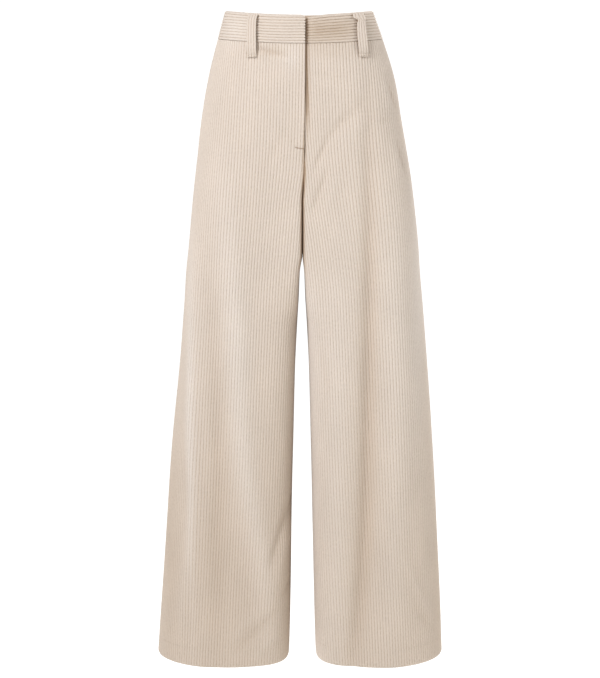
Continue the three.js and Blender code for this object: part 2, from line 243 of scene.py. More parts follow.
# Across one wale: where each column stands, as a share of the pitch, and its share of the height.
WALE_PROFILE = [(0.0, 0.0), (0.12, 0.6), (0.27, 0.94), (0.5, 1.0), (0.73, 0.94), (0.88, 0.6)]
WALE_UNEVEN = 0.08  # how much one wale's height differs along it
CLOTH = 2.4  # from a crest to the woven back
WELD = 2e-6  # in metres


def smoothstep(value, low, high):
    """0 below low and 1 above high, with a smooth rise between them."""
    t = np.clip((np.asarray(value, float) - low) / (high - low), 0, 1)
    return t * t * (3 - 2 * t)


def drift(u, v):
    """A gentle unevenness between -1 and 1, so that nothing on the cloth is ruled."""
    return (
        np.sin(u / 31 + 1.7 * np.sin(v / 83) + 0.6)
        + np.sin(v / 57 + 1.3 * np.sin(u / 45) + 2.1)
        + np.sin((u + v) / 73 + 4.0)
    ) / 3


def wale_columns(low, high):
    """Column places from low to high, and each one's share of the pile's height."""
    wales = range(math.floor(low / PITCH), math.ceil(high / PITCH) + 1)
    columns = [((k + share) * PITCH, height) for k in wales for share, height in WALE_PROFILE]
    kept = [c for c in columns if low <= c[0] <= high]
    return np.array([c[0] for c in kept]), np.array([c[1] for c in kept])


def cloth_mesh(name, rows, pile_rows):
    """A closed cloth piece from rows of (points, cloth places, wale values, painted light and shade
    values).

    The first pile_rows rows of faces are pile and the rest the woven back. Points that lie on each
    other are welded, which closes the wall along its edges.
    """
    count_v, count_u = len(rows), len(rows[0][0])
    bm = bmesh.new()
    bmesh.ops.create_grid(bm, x_segments=count_u - 1, y_segments=count_v - 1, size=1)
    wale = bm.verts.layers.float.new("wale")
    # Painted light and shade on each point, read by the pile's material.
    painted_light_and_shade = bm.verts.layers.float.new("painted_light_and_shade")
    cloth = bm.loops.layers.uv.new("cloth")
    points = [row[0].tolist() for row in rows]
    places = [row[1].tolist() for row in rows]
    values = [row[2].tolist() for row in rows]
    painted_light_and_shade_rows = [row[3].tolist() for row in rows]
    spot = {}
    for vert in bm.verts:
        i = round((vert.co.x + 1) / 2 * (count_u - 1))
        j = round((vert.co.y + 1) / 2 * (count_v - 1))
        spot[vert] = (j, i)
        vert[wale] = values[j][i]
        vert[painted_light_and_shade] = painted_light_and_shade_rows[j][i]
    for face in bm.faces:
        lowest = min(spot[vert][0] for vert in face.verts)
        face.material_index = 0 if lowest < pile_rows else 1
        face.smooth = True
        for loop in face.loops:
            j, i = spot[loop.vert]
            loop[cloth].uv = places[j][i]
    for vert, (j, i) in spot.items():
        vert.co = points[j][i]
    bmesh.ops.remove_doubles(bm, verts=bm.verts, dist=WELD)
    loose = [vert for vert in bm.verts if not vert.link_faces]
    bmesh.ops.delete(bm, geom=loose, context="VERTS")
    if bm.calc_volume(signed=True) < 0:
        bmesh.ops.reverse_faces(bm, faces=bm.faces)
    for edge in bm.edges:
        edge.smooth = len({face.material_index for face in edge.link_faces}) == 1
    mesh = bpy.data.meshes.new(name)
    bm.to_mesh(mesh)
    bm.free()
    piece = bpy.data.objects.new(name, mesh)
    bpy.context.scene.collection.objects.link(piece)
    mesh.materials.append(pile)
    mesh.materials.append(ground_cloth)
    return piece


# Fronts and backs. Four panels of corduroy, cut wide to the hem with the wales running down, sewn
# together at the sides, the inseams and the middle. The fronts are flat, and each hem is turned up.
OUTSEAM = 1100
BAND_HEIGHT = 47
FORK_DOWN = 330
FORK_BACKSET = 12  # how far behind the side seams the fork lies
FLY_DOWN = 226
HEM_DEPTH = 30
CURL_START = {"front": 268, "back": 170}  # where the middle seam starts to curl in to the fork
INNER_FULLNESS = [(FORK_DOWN, 24), (430, 14), (520, 5), (OUTSEAM, 4.3)]  # at each height down
LEG_MIDDLE = (40, 430)  # where one waist oval starts to part into two legs, and has parted
THIGH_GAP = 0.15  # from each inner thigh to the middle plane, where the two touch
THIGH_BEND = 0.9  # how far both inner thighs bend to the left, and how much more at the deepest
THIGH_BEND_MORE = 1.2
DIP = {"front": 7, "back": 6}  # how much lower the waist is than at the sides
DIP_ENDS = 150
DROOP = {"front": 8, "back": 3}  # how much lower the hem hangs than at the seams
DROOP_STARTS = 960
OVERLAP = 5.5
SEAM_PULL = 3.7  # how far the lap draws the middle seam over at the fly's foot
UNDERLAP = 22
GRAIN = (84, 136)  # how far out the grain line stands at the top and at the hem
MOUTH = (108, 284)  # the pocket mouth's top and foot
MOUTH_GAPE = 7
SIGN = {"right": -1, "left": 1, "front": -1, "back": 1}

SECTION_COLUMNS = ("down", "rightOut", "leftOut", "rightIn", "leftIn", "front", "back", "fullness")
SECTIONS = np.array([
    (0, 129, 119, 0, 0, 92, 94, 2.1),
    (47, 142, 136, 0, 0, 98, 101, 2.15),
    (115, 159, 157, 0, 0, 105, 116, 2.2),
    (182, 171, 169, 0, 0, 107, 127, 2.3),
    (250, 178, 180, 0, 0, 106, 131, 2.4),
    (330, 186, 190, 0, 0, 103, 127, 2.5),
    (409, 193, 198, 0, 0, 101, 119.5, 2.5),
    (425, 195, 199, 2.2, 2.2, 100, 118, 2.5),
    (490, 200, 205, 6, 6, 99, 113, 2.5),
    (592, 209, 214, 12, 12, 97, 107, 2.45),
    (731, 223, 224, 16, 16, 95, 102, 2.4),
    (871, 233, 232, 19, 18, 95, 100, 2.35),
    (1013, 243, 239, 22, 22, 95, 99, 2.3),
    (OUTSEAM, 250, 243, 24, 25, 95, 98, 2.3),
])


def curve_through(table, column, down):
    """A smooth curve through one column of a table whose first column is the height."""
    heights, values = table[:, 0], table[:, column]
    slopes = np.gradient(values, heights)
    i = int(np.clip(np.searchsorted(heights, down) - 1, 0, len(heights) - 2))
    step = heights[i + 1] - heights[i]
    t = np.clip((down - heights[i]) / step, 0, 1)
    return (
        values[i] * (1 + 2 * t) * (1 - t) ** 2
        + slopes[i] * step * t * (1 - t) ** 2
        + values[i + 1] * t * t * (3 - 2 * t)
        - slopes[i + 1] * step * t * t * (1 - t)
    )


def section_size(name, down):
    return curve_through(SECTIONS, SECTION_COLUMNS.index(name), down)


def seam_pull(face, down, across):
    """How far the front's middle is drawn to the left, in millimetres, at signed distances across."""
    if face == "back":
        return np.zeros_like(across)
    drawn = down / FLY_DOWN if down < FLY_DOWN else 1 - smoothstep(down, FLY_DOWN + 30, FORK_DOWN + 6)
    return SEAM_PULL * drawn * np.exp(-((across / 40) ** 2))


def thigh_bend(down, across, y):
    """The inner thighs lie together in a slight bend, so no light comes through between them."""
    together = smoothstep(down, FORK_DOWN - 20, FORK_DOWN) * (1 - smoothstep(down, 400, 430))
    depth = THIGH_BEND + THIGH_BEND_MORE * np.exp(-(((y - 30) / 40) ** 2))
    return depth * together * np.exp(-((across / 30) ** 2))


def seam_share(face, down):
    """How much of the full depth the middle seam keeps as it curls in to the fork."""
    start = CURL_START[face]
    turned = np.clip((down - start) / (FORK_DOWN - start), 0, 1)
    return math.sqrt(1 - turned**2)


class Outline:
    """One panel's outline at a height. Lengths along it are measured inwards from the grain line."""

    def __init__(self, side, face, down, lap=0.0):
        self.side, self.face, self.down = side, face, down
        outer = section_size(side + "Out", down)
        inner = max(THIGH_GAP if down >= FORK_DOWN else 0.0, section_size(side + "In", down))
        depth = section_size(face, down)
        fullness = section_size("fullness", down)
        middle = inner + (outer - inner) / 2 * smoothstep(down, *LEG_MIDDLE)
        leg_run = float(np.clip((down - FORK_DOWN) / (OUTSEAM - FORK_DOWN), 0, 1))
        inner_fullness = np.interp(down, *zip(*INNER_FULLNESS))
        backset = FORK_BACKSET * (1 - leg_run if down >= FORK_DOWN else down / FORK_DOWN)
        turn = (1 - seam_share(face, down) ** inner_fullness) ** (1 / inner_fullness)
        steps = 90
        angle = np.linspace(0, math.pi / 2, steps, endpoint=False)
        x = middle + (outer - middle) * np.cos(angle) ** (2 / fullness)
        y = np.sin(angle) ** (2 / fullness)
        run = np.linspace(0, 1, steps + 1)
        if turn > 0:
            angle = math.asin(turn ** (inner_fullness / 2)) * run
            inner_x = middle - (middle - inner) * np.sin(angle) ** (2 / inner_fullness) / turn
            inner_y = np.cos(angle) ** (2 / inner_fullness)
        else:
            inner_x = middle - (middle + lap) * run
            past_middle = np.clip(-inner_x - middle, 0, None) / (outer - middle)
            inner_y = (1 - past_middle**fullness) ** (1 / fullness)
        x, y = np.concatenate([x, inner_x]), np.concatenate([y, inner_y])
        apart = np.concatenate([[True], np.hypot(np.diff(x), np.diff(depth * y)) > 1e-3])
        self.x = x[apart]
        shape_y = SIGN[face] * depth * y[apart]
        self.y = shape_y + backset * smoothstep(outer - self.x, 0, outer - inner)
        steps_x, steps_y = np.diff(self.x), np.diff(self.y)
        lengths = np.concatenate([[0], np.cumsum(np.hypot(steps_x, steps_y))])
        grain_x = GRAIN[0] + (GRAIN[1] - GRAIN[0]) * down / OUTSEAM
        self.lengths = lengths - np.interp(-grain_x, -self.x, lengths)
        self.start, self.end = self.lengths[0], self.lengths[-1]
        along_x, along_y = np.gradient(self.x, lengths), np.gradient(self.y, lengths)
        scale = np.hypot(along_x, along_y)
        self.out_x = along_y / scale * SIGN[face]
        self.out_y = -along_x / scale * SIGN[face]
        self.outer, self.inner = outer, inner

    def x_at(self, length):
        return np.interp(length, self.lengths, self.x)

    def at(self, length, rise, hold=0.0):
        """Points in metres at lengths along the outline, moved outwards by rise.

        Where hold is 1 they keep their distance from the middle plane.
        """
        x = np.interp(length, self.lengths, self.x)
        y = np.interp(length, self.lengths, self.y)
        out_x = np.interp(length, self.lengths, self.out_x)
        out_y = np.interp(length, self.lengths, self.out_y)
        dip = DIP[self.face] * (1 - smoothstep(self.down, BAND_HEIGHT, DIP_ENDS))
        from_middle = (2 * x - self.outer - self.inner) / (self.outer - self.inner)
        droop = DROOP[self.face] * smoothstep(self.down, DROOP_STARTS, OUTSEAM)
        low = self.down + dip * (1 - np.minimum(1, (x / self.outer) ** 2))
        low = low + droop * (1 - np.minimum(1, from_middle**2))
        across = SIGN[self.side] * (x + out_x * rise * (1 - hold))
        across = across + seam_pull(self.face, self.down, across) + thigh_bend(self.down, across, y)
        return np.stack([across, y + out_y * rise, -low], axis=-1) * MM


# Folds down each leg: the leg, the face, the half width, and places down the fold's middle, as the
# distance down, the distance from the middle plane and the height, where a valley's is negative.
FOLDS = [
    ("right", "front", 24, [(200, 130, 0), (413, 118, 8), (530, 109, 12), (676, 103, 13), (785, 93, 14),
                            (864, 79, 13), (934, 67, 12), (1020, 57, 7), (1100, 52, 3)]),
    ("right", "front", 11, [(340, 178, 0), (560, 184, 6), (694, 187, 8), (822, 184, 8), (930, 192, 7),
                            (1018, 204, 4), (1080, 210, 0)]),
    ("right", "front", 17, [(380, 156, 0), (563, 146, -5), (732, 139, -7), (903, 144, -6),
                            (1100, 146, -2)]),
    ("left", "front", 14, [(80, 112, 0), (300, 113, -8), (563, 112, -12), (736, 110, -12),
                           (906, 105, -11), (1051, 93, -7), (1100, 88, -4)]),
    ("left", "front", 24, [(260, 62, 0), (680, 62, 6), (1000, 58, 5), (1100, 56, 2)]),
    ("left", "front", 26, [(240, 154, 0), (400, 156, 5), (660, 160, 7), (1000, 154, 5), (1100, 152, 2)]),
    ("right", "back", 20, [(280, 92, 0), (480, 88, -6), (640, 84, -9), (900, 84, -7), (1100, 84, -3)]),
    ("right", "back", 26, [(340, 140, 0), (780, 160, 9), (1000, 175, 6), (1100, 182, 3)]),
    ("right", "back", 20, [(430, 40, 0), (700, 46, 6), (960, 40, 5), (1100, 40, 2)]),
    ("left", "back", 18, [(280, 84, 0), (640, 98, -9), (900, 106, -7), (1100, 112, -3)]),
    ("left", "back", 28, [(380, 136, 0), (780, 164, 8), (1100, 190, 3)]),
    ("left", "back", 22, [(520, 44, 0), (760, 52, 6), (1100, 50, 2)]),
]

# Short creases: pulls, dents and wrinkles. Each has its leg, face, height and half width, and runs from
# one place (down, x) to another.
CREASES = [
    ("left", "front", -2.6, 10, (148, 106), (192, 60)),
    ("left", "front", -2.6, 8, (178, 70), (214, 38)),
    ("left", "front", 1.5, 13, (176, 104), (248, 52)),
    ("left", "front", -3.0, 5, (212, 40), (262, 17)),
    ("left", "front", -2.6, 5, (263, 40), (336, 15)),
    ("left", "front", 1.6, 6, (270, 60), (350, 34)),
    ("left", "front", -1.2, 5, (100, 14), (112, 82)),
    ("left", "front", 1.0, 6, (122, 20), (132, 90)),
    ("left", "front", -3.4, 2.6, (122, 145), (168, 160)),
    ("left", "front", 1.6, 7, (120, 134), (170, 150)),
    ("left", "front", -3.4, 2.6, (218, 160), (278, 175)),
    ("left", "front", 1.6, 7, (220, 150), (280, 164)),
    ("left", "front", -1.4, 4, (186, 126), (180, 152)),
    ("right", "front", -3.0, 3, (57, 72), (69, 24)),
    ("right", "front", 1.8, 5, (70, 70), (79, 18)),
    ("right", "front", -1.6, 4, (200, 34), (224, 9)),
    ("right", "front", -1.4, 7, (196, 30), (262, 62)),
    ("right", "front", -3.8, 6, (1012, 46), (1072, 112)),
    ("right", "front", 2.4, 7, (1004, 70), (1052, 120)),
    ("right", "front", 2.4, 8, (1046, 44), (1088, 84)),
    ("right", "front", -4.0, 6, (832, 22), (936, 58)),
    ("right", "front", 2.4, 7, (872, 22), (962, 44)),
    ("right", "front", -2.4, 4, (966, 22), (992, 40)),
    ("left", "front", -1.8, 5, (560, 30), (640, 44)),
    ("left", "front", 2.0, 5, (930, 176), (1010, 214)),
    ("left", "front", -2.2, 5, (1000, 190), (1050, 226)),
    ("right", "back", -3.0, 6, (318, 30), (392, 78)),
    ("left", "back", -2.8, 6, (306, 26), (388, 70)),
    ("right", "back", -2.4, 6, (352, 60), (420, 120)),
    ("left", "back", -2.2, 6, (348, 66), (404, 128)),
    ("right", "back", 2.2, 7, (980, 90), (1050, 150)),
    ("left", "back", -2.4, 6, (1000, 70), (1060, 120)),
]

# Patches of painted light and shade: the side, the face, the place (down, x), the half height, the half
# width, and how much, from 2, painted lightest, to -2, painted darkest.
PAINTED_LIGHT_AND_SHADE_PATCHES = [
    ("right", "front", (72, 16), 22, 14, 0.45),
    ("right", "front", (62, 56), 9, 26, -0.45),
    ("left", "front", (64, 50), 10, 40, -0.25),
    ("left", "front", (900, 238), 240, 12, -0.35),
    ("right", "front", (28, 112), 26, 30, 0.4),
    ("left", "front", (26, 58), 20, 34, -1.3),
    ("left", "front", (22, 20), 30, 20, -0.9),
    ("right", "front", (700, 186), 330, 7, 0.5),
    ("right", "front", (820, 226), 260, 14, -0.35),
    ("right", "front", (960, 120), 160, 90, -0.2),
    ("left", "front", (420, 196), 260, 16, 0.6),
]

INNER_SIDE_PAINTED_LIGHT_AND_SHADE = {"right": -0.8, "left": 0.9}  # painted shade on the right leg's inner side, painted light on the left's
SEAM_PAINTED_SHADE = -2.8  # painted shade in the middle seam and between the thighs
FLY_EDGE_PAINTED_SHADOW = -2.0  # painted shadow beside the fly's edge
LOWER_PAINTED_SHADE = -0.6  # painted shade, deepening towards the hems
FOLD_PAINTED_LIGHT_AND_SHADE = 0.045  # painted light on ridges and shade in valleys, for each millimetre of a fold's height
FOLD_PAINTED_LIGHT_AND_SHADE_LIMIT = 0.8


def painted_light_and_shade_at(side, face, down, x, inner=0.0, rise=0.0):
    """Painted light and shade on the pile: lighter on ridges, darker in valleys, at the seams, beside
    the fly and towards the hems.
    """
    value = np.zeros_like(x) + np.clip(FOLD_PAINTED_LIGHT_AND_SHADE * rise, -FOLD_PAINTED_LIGHT_AND_SHADE_LIMIT, FOLD_PAINTED_LIGHT_AND_SHADE_LIMIT)
    value += LOWER_PAINTED_SHADE * smoothstep(down, 420, 1000)
    value += INNER_SIDE_PAINTED_LIGHT_AND_SHADE[side] * smoothstep(down, FORK_DOWN + 60, 520) * np.exp((inner - x) / 20)
    by_seam = smoothstep(down, 160, 300) * (1 - smoothstep(down, 400, 450))
    value += SEAM_PAINTED_SHADE * by_seam * np.exp(-(((x - inner) / 3) ** 2))
    if (side, face) == ("left", "front"):
        by_lap = np.exp(-(((x - OVERLAP) / 4) ** 2))
        value += FLY_EDGE_PAINTED_SHADOW * by_lap * (1 - smoothstep(down, 150, FLY_DOWN))
    for patch_side, patch_face, (middle_down, middle_x), half_height, half_width, amount in PAINTED_LIGHT_AND_SHADE_PATCHES:
        if (patch_side, patch_face) == (side, face):
            away = ((x - middle_x) / half_width) ** 2 + ((down - middle_down) / half_height) ** 2
            value += amount * np.exp(-away)
    return value


# The wales near the middle lean outwards as they come down past the fork, the left leg's more.
WALE_LEAN = {"right": 7, "left": 21}


def wale_lean(side, down, x):
    """How far each wale stands towards the middle of its straight line."""
    return WALE_LEAN[side] * (1 - smoothstep(down, 190, 490)) * (1 - smoothstep(x, 40, 180))


WANDER = 0.7


def wander(places, down):
    """Sideways drifting of the wales, in millimetres."""
    return WANDER * drift(places * 1.3 + 40, down * 0.8 + 15)


DRAPE = 0.9


def drape(places, down):
    """The faint rising and falling of the whole cloth, in millimetres."""
    return DRAPE * drift(places, down) * smoothstep(down, 60, 200)


def fold_rise(outline, x):
    """The outward movement of the cloth, in millimetres, by all of a panel's folds and creases."""
    down = outline.down
    rise = np.zeros_like(x)
    for leg, face, half_width, places in FOLDS:
        if (leg, face) != (outline.side, outline.face) or down <= places[0][0]:
            continue
        places = np.array(places, float)
        middle, height = curve_through(places, 1, down), curve_through(places, 2, down)
        rise += height * np.exp(-(((x - middle) / half_width) ** 2))
    for leg, face, height, half_width, start, end in CREASES:
        if (leg, face) != (outline.side, outline.face):
            continue
        span_down, span_x = end[0] - start[0], end[1] - start[1]
        length = math.hypot(span_down, span_x)
        run = ((down - start[0]) * span_down + (x - start[1]) * span_x) / length**2
        away = ((down - start[0]) * span_x - (x - start[1]) * span_down) / length
        fade = smoothstep(run, -0.25, 0.3) * (1 - smoothstep(run, 0.6, 1.25))
        rise += height * fade * np.exp(-((away / half_width) ** 2))
    return rise


def lap_width(side, face, down):
    """How far a panel carries on past the middle at the fly."""
    if face == "back" or down > FLY_DOWN:
        return 0.0
    if side == "left":
        return float(UNDERLAP)
    return OVERLAP * (1 - down / FLY_DOWN)


LAP_PROUD = 2.0
PANEL_UNDER_DROP = 3.6
UNDER_COMES_UP = 0.62  # the share of that drop which is gone at the fly's foot, in sight


def lap_rise(side, down, x, drop):
    """The right front lies a little proud at the fly, and the left one drops under its edge."""
    fade = 1 - smoothstep(down, FLY_DOWN + 3, FLY_DOWN + 28)
    if side == "right":
        return LAP_PROUD * fade * (1 - smoothstep(x, UNDERLAP, 60))
    # In sight, beside the edge, the left front comes up again towards the fly's foot.
    comes_up = UNDER_COMES_UP * smoothstep(down, 110, FLY_DOWN - 20) * smoothstep(x, -1.5, 1.5)
    return -drop * fade * (1 - comes_up) * (1 - smoothstep(x, 8, 17))


# The heights of the panels' rows, closer together near the band, the fly's foot and the hem.
PANEL_DOWNS = np.concatenate([
    np.arange(BAND_HEIGHT + 0.1, 108, 3.4),
    np.arange(108, FLY_DOWN, 5.2),
    [FLY_DOWN, FLY_DOWN + 3, FLY_DOWN + 6],
    np.arange(FLY_DOWN + 10, FORK_DOWN, 4.6),
    np.arange(FORK_DOWN, OUTSEAM - HEM_DEPTH - 8, 7.2),
    np.arange(OUTSEAM - HEM_DEPTH - 6, OUTSEAM - 2, 2.4),
    [OUTSEAM - 2, OUTSEAM - 0.8, OUTSEAM],
])
SEAM_SPACE = 0.05  # from each panel's edge to the seam's line
HEM_ROLL = 1.4  # how deep the hem's fold turns in, over its last 3 mm
SEAM_ROLL = 1.1  # how deep the cloth rolls in at a seam
SEAM_ROLL_WIDTH = 2.6
HEM_GROOVE = 0.15  # how deep the hem's stitches draw the pile in
WORN = 0.14  # how much shallower the wales are worn towards the hems


def panel_rows(side, face):
    """The rows of a panel: down its pile side, round the hem and up its woven back."""
    outlines = [Outline(side, face, down, lap_width(side, face, down)) for down in PANEL_DOWNS]
    low, high = min(o.start for o in outlines), max(o.end for o in outlines)
    columns, heights = wale_columns(low - PITCH, high + PITCH)
    grooves = np.round(columns / PITCH) * PITCH
    pile_side, back_side = [], []
    for outline in outlines:
        down = outline.down
        start, end = outline.start + SEAM_SPACE, outline.end - SEAM_SPACE
        if face == "front" and MOUTH[0] < down < MOUTH[1]:
            along_mouth = (down - MOUTH[0]) / (MOUTH[1] - MOUTH[0])
            start += MOUTH_GAPE * math.sqrt(math.sin(math.pi * along_mouth))
        moved = columns + wale_lean(side, down, outline.x_at(columns)) + wander(columns, down)
        u = np.clip(moved, start, end)
        inside = (moved > start) & (moved < end)
        x = outline.x_at(u)
        folded = fold_rise(outline, x)
        soft = folded + drape(u, down)
        if face == "front":
            soft = soft + lap_rise(side, down, x, PANEL_UNDER_DROP)
        # The middle seam's two sides stay together, and so do the inner thighs just below the fork.
        hold = np.exp(-(((end - u) / 8) ** 2)) * (1 - smoothstep(down, FORK_DOWN, FORK_DOWN + 100))
        if down > FORK_DOWN:
            beside = np.exp(-(((x - outline.inner) / 3) ** 2)) * (1 - smoothstep(down, 405, 440))
            hold = np.maximum(hold, beside)
        edge = np.minimum(u - start, end - u)
        if face == "front" and down < FLY_DOWN:
            edge = u - start
        roll = SEAM_ROLL * np.exp(-((edge / SEAM_ROLL_WIDTH) ** 2))
        roll = roll + HEM_ROLL * smoothstep(down, OUTSEAM - 3, OUTSEAM)
        stitched = HEM_GROOVE * math.exp(-(((down - OUTSEAM + HEM_DEPTH) / 2.2) ** 2))
        wale = np.where(inside, heights, 0.0) * (1 + WALE_UNEVEN * drift(u * 9, down * 2.5))
        worn = WORN * smoothstep(down, 420, 1000)
        wale = wale + worn * (1 - wale)
        pile_depth = WALE_HEIGHT * (1 - wale)
        # Each pile row carries painted light and shade, lighter on its folds' ridges and darker in their
        # valleys.
        pile_side.append((
            outline.at(u, soft - roll - stitched - pile_depth, hold),
            np.stack([u, np.full_like(u, down)], axis=-1) * MM,
            np.clip(wale, 0, 1),
            painted_light_and_shade_at(side, face, down, x, outline.inner, folded),
        ))
        turned_up = down > OUTSEAM - HEM_DEPTH
        flat = grooves + wale_lean(side, down, outline.x_at(grooves)) + wander(grooves, down)
        back = np.clip(moved if turned_up else flat, start, end)
        back_x = outline.x_at(back)
        back_soft = fold_rise(outline, back_x) + drape(back, down)
        if face == "front":
            back_soft = back_soft + lap_rise(side, down, back_x, PANEL_UNDER_DROP)
        depth = CLOTH if not turned_up else 2 * CLOTH - pile_depth
        points = outline.at(back, back_soft - depth)
        points[0], points[-1] = pile_side[-1][0][0], pile_side[-1][0][-1]
        back_side.append((
            points,
            np.stack([back, np.full_like(back, down)], axis=-1) * MM,
            np.clip(wale, 0, 1) if turned_up else np.full_like(back, 0.5),
            np.zeros_like(back),
        ))
    hem_rows = int((PANEL_DOWNS > OUTSEAM - HEM_DEPTH).sum())
    rows = pile_side + back_side[::-1] + [pile_side[0]]
    widths = np.array([o.end - o.start for o in outlines])
    area = float(np.trapz(widths, PANEL_DOWNS)) * MM * MM
    return rows, len(pile_side) + hem_rows - 1, float(widths.max()) * MM, area


panels = {}
for side in ("right", "left"):
    for face in ("front", "back"):
        name = f"{face}_{side}"
        rows, pile_rows, width, area = panel_rows(side, face)
        panel = cloth_mesh(f"{name}_panel", rows, pile_rows)
        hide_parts(f"{name}_hip", f"{name}_leg")
        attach(panel, "root")
        length = (OUTSEAM - BAND_HEIGHT) * MM
        panels[name] = panel


# Waistband. A strip of the same corduroy cut across, so its wales run round the waist, folded double
# and sewn over the top of the panels. The right end laps over the left at the fly.
BAND_CLOTH = 4  # both layers together
BAND_PROUD = 0.6
BAND_UNDER_DROP = 5
BAND_WALE_HEIGHT = 1.3
BAND_WALES = 10
BAND_SPREAD = 60  # columns round each face of a half
BAND_WAVER = 0.9  # how far the wales waver up and down between the band's edges
BAND_RIPPLE = 0.35
BAND_TOP_ROLL = 1.3  # how deep the cloth rolls in over the fold, and at the lower edge
BAND_FOOT_ROLL = 0.8
END_CORNER = 5.5  # radius of the upper corner at the fly
END_SCALLOP = 2.4  # how far each groove cuts in at the end
NEAR_FLY = 16  # the stretch beside the middle with columns of its own
UNDER_SLIP = 3.8  # how much lower the left end's top is, where it lies under the right one
# Each half's slight bend: how far it bows out or in, how far from the middle, and its half width.
BAND_BENDS = {"right": (0.8, 105, 26), "left": (-1.6, 66, 26)}


def band_row(side, down, height, rise):
    """Points round half of the band at a height, from the fly past the side to the back's middle."""
    lap = lap_width(side, "front", down)
    front, back = Outline(side, "front", down, lap), Outline(side, "back", down)
    middle = front.end - lap
    near_fly = np.array([front.end, middle - 8, middle - 12, middle - NEAR_FLY])
    if side == "right":
        corner = END_CORNER - math.sqrt(END_CORNER**2 - max(0, END_CORNER - down) ** 2)
        end = front.end - corner - END_SCALLOP * (1 - height)
        near_fly = np.array([end, end - 1.5, end - 3, middle - NEAR_FLY])
    front_u = np.linspace(middle - NEAR_FLY, front.start, BAND_SPREAD)
    front_u = np.concatenate([near_fly, front_u[1:]])
    back_u = np.linspace(back.start, back.end - SEAM_SPACE, BAND_SPREAD)[1:]
    lift = lap_rise(side, down, front.x_at(front_u), BAND_UNDER_DROP)
    around = np.concatenate([front.end - front_u, front.end - front.start + back_u - back.start])
    ripple = BAND_RIPPLE * drift(around * 1.7, down * 3.0)
    front_count = len(front_u)
    x = front.x_at(front_u)
    inside_edges = math.sin(math.pi * down / BAND_HEIGHT)
    depth, bend_x, half_width = BAND_BENDS[side]
    bent = depth * np.exp(-(((x - bend_x) / half_width) ** 2)) * inside_edges
    front_points = front.at(front_u, lift + rise + bent + ripple[:front_count])
    if side == "left":
        slip = UNDER_SLIP * (1 - smoothstep(x, 0, 50)) * (1 - down / BAND_HEIGHT)
        front_points[:, 2] -= slip * MM
    points = np.concatenate([front_points, back.at(back_u, rise + ripple[front_count:])])
    points[:, 2] += BAND_WAVER * MM * drift(around * 1.6 + 7, down * 1.3) * inside_edges
    # Painted light and shade on the band's front, none on its back.
    painted_light_and_shade = np.concatenate([painted_light_and_shade_at(side, "front", down, x), np.zeros(len(back_u))])
    return points, around, painted_light_and_shade


def band_rows(side):
    """The rows of half of the band: down its pile side and up its inner layer."""
    places, heights = wale_columns(0, BAND_WALES * PITCH)
    places = places * BAND_HEIGHT / (BAND_WALES * PITCH)
    outside = []
    for down, height in zip(places, heights):
        top_roll = BAND_TOP_ROLL * (1 - smoothstep(down, 0, 2.2))
        foot_roll = BAND_FOOT_ROLL * smoothstep(down, BAND_HEIGHT - 1.5, BAND_HEIGHT)
        rise = BAND_PROUD - BAND_WALE_HEIGHT * (1 - height) - (top_roll + foot_roll)
        points, around, painted_light_and_shade = band_row(side, down, height, rise)
        place = np.stack([np.full_like(around, down), around], axis=-1) * MM
        outside.append((points, place, np.full_like(around, height), painted_light_and_shade))
    inside = []
    for down, height in zip(places[::-1], heights[::-1]):
        points, around, painted_light_and_shade = band_row(side, down, height, BAND_PROUD - BAND_CLOTH)
        j = len(places) - 1 - len(inside)
        points[0], points[-1] = outside[j][0][0], outside[j][0][-1]
        place = np.stack([np.full_like(around, down), around], axis=-1) * MM
        inside.append((points, place, np.full_like(around, 0.5), np.zeros_like(painted_light_and_shade)))
    length = outside[-1][1][-1][1]
    return outside + inside + [outside[0]], len(outside), float(length)


for side in ("right", "left"):
    rows, pile_rows, length = band_rows(side)
    band = cloth_mesh(f"waistband_{side}_strip", rows, pile_rows)
    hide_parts(f"waistband_{side}")
    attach(band, "root")


# Pocket facings. A strip of corduroy behind each side mouth, sewn to the back panel's edge, which shows
# where the front's edge stands open.
FACING_WIDTH = 30
FACING_GAP = 1  # behind the front panel
FACING_WALL = 2
FACING_WALE_HEIGHT = 0.8

for side in ("right", "left"):
    outside, inside = [], []
    for down in np.linspace(MOUTH[0], MOUTH[1], 40):
        outline = Outline(side, "front", float(down))
        spots = np.linspace(0.3, FACING_WIDTH, 40)
        height = 0.5 - 0.5 * np.cos(spots / PITCH * 2 * math.pi)
        u = outline.start + spots
        place = np.stack([spots, np.full_like(spots, down)], axis=-1) * MM
        rise = -(CLOTH + FACING_GAP)
        points = outline.at(u, rise - FACING_WALE_HEIGHT * (1 - height))
        outside.append((points, place, height, np.zeros_like(spots)))
        back = outline.at(u, np.full_like(u, rise - FACING_WALL))
        back[0], back[-1] = points[0], points[-1]
        inside.append((back, place, np.full_like(spots, 0.5), np.zeros_like(spots)))
    rows = outside + inside[::-1] + [outside[0]]
    facing = cloth_mesh(f"pocket_facing_{side}_strip", rows, len(outside))
    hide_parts(f"pocket_facing_{side}")
    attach(facing, "root")


# Belt loops. Strips with the wales running down them, folded to three and a half wales wide, sewn into
# the band's top and tacked down below it. The wearer's left front loop has slipped and twisted.
LOOP_WIDTH = 16.8
LOOP_WALL = 2.4
LOOP_WALE_HEIGHT = 0.9
LOOP_BELOW = 25  # how far it reaches below the band
LOOP_OFF = 4.6  # the room for a belt
LOOP_SEAT = {"front": 0.4, "back": 0.8}
LOOP_TOP = 1
LOOP_BOW = 0.5  # how much thicker the folded strip is along its middle
LOOP_EDGE = 0.35  # the pile's share of its height at the strip's two edges
FOOT_FOLD = 5
FOOT_GROOVE = 0.9
FOOT_PRESSED = 1.1  # how much thinner the pressed foot is
